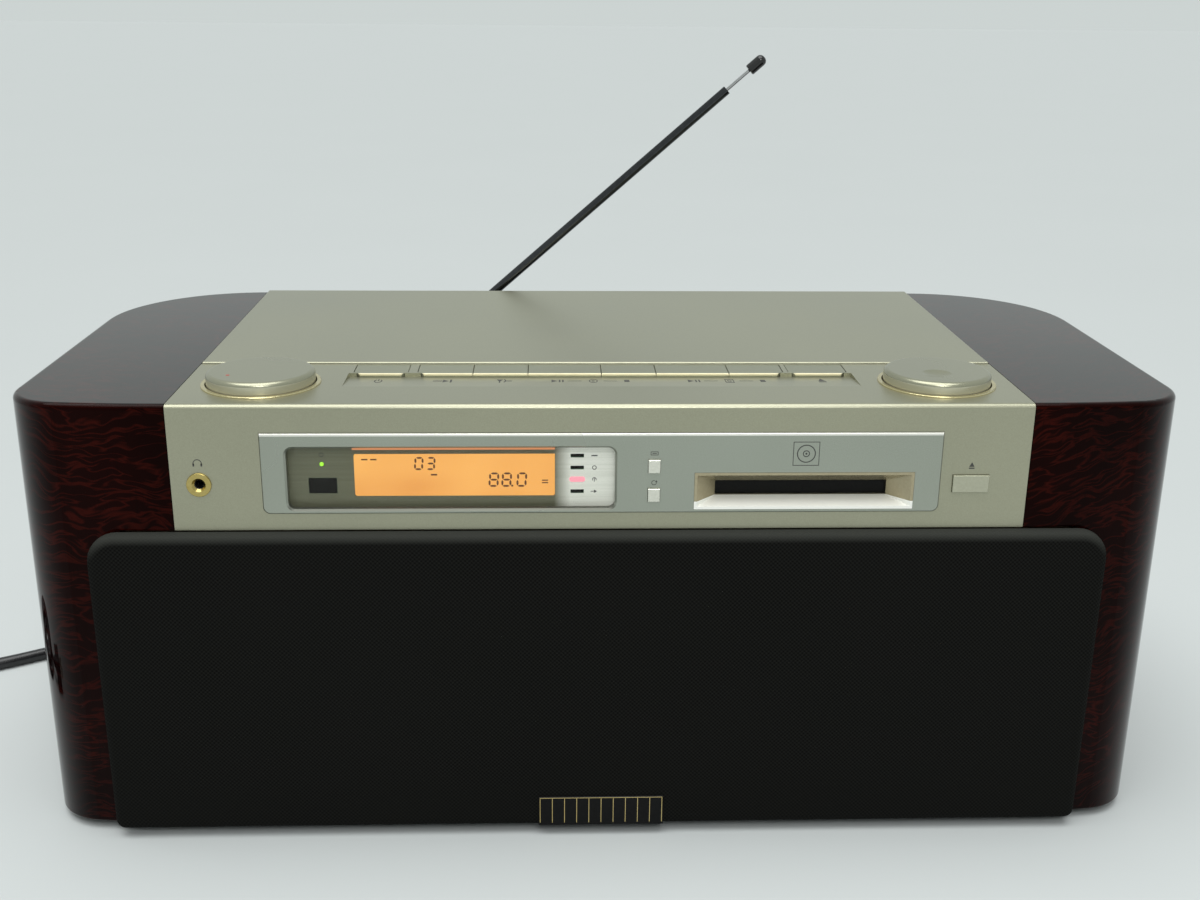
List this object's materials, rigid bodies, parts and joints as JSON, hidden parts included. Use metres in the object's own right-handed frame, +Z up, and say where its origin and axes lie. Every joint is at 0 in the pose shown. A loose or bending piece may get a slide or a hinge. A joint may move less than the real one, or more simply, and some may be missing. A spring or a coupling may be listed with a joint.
{
  "type": "compact disc and minidisc stereo",
  "caption": "Table-top disc stereo with a metal top, hinged lid over a disc well, a cartridge slot, knobs, keys, cloth grille, wooden cheeks and a telescopic antenna.",
  "frame": {"origin": "on the table under the middle of the object's box, with the free mains cord left out", "axes": "+X to the right as seen from the front, +Y to the back, +Z up"},
  "size_m": [0.7105, 0.3437, 0.3314],
  "materials": {
    "black_cloth": "fine weave",
    "black_plastic": "matt",
    "black_rubber": "matt",
    "board_wood": "painted board",
    "champagne_metal": "satin champagne",
    "champagne_plastic": "satin",
    "chrome": "polished",
    "circuit_board": "solder mask",
    "clear_window": "clear",
    "cord_black": "soft gloss",
    "gold": "polished",
    "lacquered_wood": "dark red veneer under gloss lacquer",
    "orange_display": "lit",
    "silver_card": "satin",
    "silver_fascia": "satin silver",
    "speaker_paper": "pulp",
    "steel": "plated",
    "white_nylon": "moulded"
  },
  "bodies": {
    "cabinet": {"left_cheek": "lacquered_wood", "right_cheek": "lacquered_wood", "front_panel": "champagne_metal", "lid_motor": "steel", "back_panel": "black_plastic", "cover_screws": "steel", "base_chassis": "black_plastic", "feet": "black_rubber", "grille_frame": "black_plastic", "grille_cloth": "black_cloth", "badge_plate": "black_plastic", "baffle_board": "board_wood", "fascia_plate": "silver_fascia", "display_window": "clear_window", "display_panel": "silver_card", "lcd_module": "orange_display", "front_boards": "circuit_board", "phones_jack": "gold", "md_bezel": "silver_fascia", "md_deck": "steel", "knob_rings": "gold", "control_board": "circuit_board", "cd_well": "black_plastic", "cd_mechanism": "steel", "speaker_frames": "steel", "main_board": "circuit_board", "power_transformer": "steel", "line_in_jacks": "gold", "antenna_base": "black_plastic", "strain_relief": "cord_black", "mains_cord": "cord_black", "cord_coil": "cord_black", "cord_tie": "black_plastic", "mains_plug": "cord_black"},
    "lid": {"cd_lid": "champagne_metal", "lid_liner": "black_plastic"},
    "lid_gear": {"lid_drive_gear": "white_nylon"},
    "volume": {"volume_knob": "champagne_plastic"},
    "tuning": {"tuning_knob": "champagne_plastic"},
    "display_switch": {"display_button": "champagne_plastic"},
    "play_mode_switch": {"play_mode_button": "champagne_plastic"},
    "eject_switch": {"eject_button": "champagne_plastic"},
    "md_flap": {"md_door": "black_plastic"},
    "cd_platter": {"cd_turntable": "black_plastic"},
    "cd_sled": {"cd_pickup": "black_plastic"},
    "md_platter": {"md_turntable": "steel"},
    "antenna_swivel_body": {"antenna_knuckle": "chrome"},
    "antenna_mast": {"antenna_outer_tube": "chrome"},
    "antenna_middle": {"antenna_middle_tube": "chrome"},
    "antenna_end": {"antenna_tip": "chrome"},
    "left_speaker_cone": {"left_cone": "speaker_paper"},
    "right_speaker_cone": {"right_cone": "speaker_paper"},
    "power_key_body": {"power_key": "champagne_plastic"},
    "line_key_body": {"line_key": "champagne_plastic"},
    "radio_key_body": {"radio_key": "champagne_plastic"},
    "cd_play_key_body": {"cd_play_key": "champagne_plastic"},
    "cd_stop_key_body": {"cd_stop_key": "champagne_plastic"},
    "md_play_key_body": {"md_play_key": "champagne_plastic"},
    "md_stop_key_body": {"md_stop_key": "champagne_plastic"},
    "open_close_key_body": {"open_close_key": "champagne_plastic"}
  },
  "joints": [
    {"name": "lid_hinge", "type": "hinge", "parent": "cabinet", "child": "lid", "pos_m": [0, 0.10168, 0.19365], "axis": [-1, 0, 0], "range_deg": [0, 62]},
    {"name": "lid_gear_spin", "type": "hinge", "parent": "cabinet", "child": "lid_gear", "pos_m": [0.142, 0.0734, 0.18046], "axis": [1, 0, 0], "range_deg": [0, 207.17]},
    {"name": "volume_turn", "type": "hinge", "parent": "cabinet", "child": "volume", "pos_m": [-0.1475, -0.08382, 0.20165], "axis": [0, 0, 1], "range_deg": [-150, 150]},
    {"name": "tuning_turn", "type": "hinge", "parent": "cabinet", "child": "tuning", "pos_m": [0.1475, -0.08382, 0.20165], "axis": [0, 0, 1], "continuous": true},
    {"name": "power_key_press", "type": "slide", "parent": "cabinet", "child": "power_key_body", "axis": [0, 0, -1], "range_m": [0, 0.0012], "stiffness_N_per_m": 600, "springref_m": -0.0005},
    {"name": "line_key_press", "type": "slide", "parent": "cabinet", "child": "line_key_body", "axis": [0, 0, -1], "range_m": [0, 0.0012], "stiffness_N_per_m": 600, "springref_m": -0.0005},
    {"name": "radio_key_press", "type": "slide", "parent": "cabinet", "child": "radio_key_body", "axis": [0, 0, -1], "range_m": [0, 0.0012], "stiffness_N_per_m": 600, "springref_m": -0.0005},
    {"name": "cd_play_key_press", "type": "slide", "parent": "cabinet", "child": "cd_play_key_body", "axis": [0, 0, -1], "range_m": [0, 0.0012], "stiffness_N_per_m": 600, "springref_m": -0.0005},
    {"name": "cd_stop_key_press", "type": "slide", "parent": "cabinet", "child": "cd_stop_key_body", "axis": [0, 0, -1], "range_m": [0, 0.0012], "stiffness_N_per_m": 600, "springref_m": -0.0005},
    {"name": "md_play_key_press", "type": "slide", "parent": "cabinet", "child": "md_play_key_body", "axis": [0, 0, -1], "range_m": [0, 0.0012], "stiffness_N_per_m": 600, "springref_m": -0.0005},
    {"name": "md_stop_key_press", "type": "slide", "parent": "cabinet", "child": "md_stop_key_body", "axis": [0, 0, -1], "range_m": [0, 0.0012], "stiffness_N_per_m": 600, "springref_m": -0.0005},
    {"name": "open_close_key_press", "type": "slide", "parent": "cabinet", "child": "open_close_key_body", "axis": [0, 0, -1], "range_m": [0, 0.0012], "stiffness_N_per_m": 600, "springref_m": -0.0005},
    {"name": "display_press", "type": "slide", "parent": "cabinet", "child": "display_switch", "axis": [0, 1, 0], "range_m": [0, 0.0008], "stiffness_N_per_m": 600, "springref_m": -0.0005},
    {"name": "play_mode_press", "type": "slide", "parent": "cabinet", "child": "play_mode_switch", "axis": [0, 1, 0], "range_m": [0, 0.0008], "stiffness_N_per_m": 600, "springref_m": -0.0005},
    {"name": "eject_press", "type": "slide", "parent": "cabinet", "child": "eject_switch", "axis": [0, 1, 0], "range_m": [0, 0.0008], "stiffness_N_per_m": 600, "springref_m": -0.0005},
    {"name": "md_door_hinge", "type": "hinge", "parent": "cabinet", "child": "md_flap", "pos_m": [0.085, -0.10752, 0.1667], "axis": [1, 0, 0], "range_deg": [0, 80], "stiffness_Nm_per_rad": 0.002, "springref_deg": -17.19},
    {"name": "cd_spin", "type": "hinge", "parent": "cabinet", "child": "cd_platter", "pos_m": [0, 0.01918, 0.1845], "axis": [0, 0, 1], "continuous": true},
    {"name": "cd_sled_travel", "type": "slide", "parent": "cabinet", "child": "cd_sled", "axis": [1, 0, 0], "range_m": [0, 0.03]},
    {"name": "md_spin", "type": "hinge", "parent": "cabinet", "child": "md_platter", "pos_m": [0.085, -0.06953, 0.159], "axis": [0, 0, 1], "continuous": true},
    {"name": "antenna_swivel", "type": "hinge", "parent": "cabinet", "child": "antenna_swivel_body", "pos_m": [-0.09, 0.12168, 0.168], "axis": [0, 1, 0], "range_deg": [-138, 41]},
    {"name": "antenna_tilt", "type": "hinge", "parent": "antenna_swivel_body", "child": "antenna_mast", "pos_m": [-0.09, 0.12168, 0.168], "axis": [-0.6574, 0, 0.7536], "range_deg": [0, 90]},
    {"name": "antenna_middle_slide", "type": "slide", "parent": "antenna_mast", "child": "antenna_middle", "axis": [0.7536, 0, 0.6574], "range_m": [0, 0.185]},
    {"name": "antenna_tip_slide", "type": "slide", "parent": "antenna_middle", "child": "antenna_end", "axis": [0.7536, 0, 0.6574], "range_m": [0, 0.185]},
    {"name": "left_cone_travel", "type": "slide", "parent": "cabinet", "child": "left_speaker_cone", "axis": [0, -1, 0], "range_m": [-0.002, 0.002], "stiffness_N_per_m": 1500},
    {"name": "right_cone_travel", "type": "slide", "parent": "cabinet", "child": "right_speaker_cone", "axis": [0, -1, 0], "range_m": [-0.002, 0.002], "stiffness_N_per_m": 1500}
  ],
  "couplings": [
    {"joint": "lid_gear_spin", "follows": "lid_hinge", "ratio": 3.3333}
  ]
}
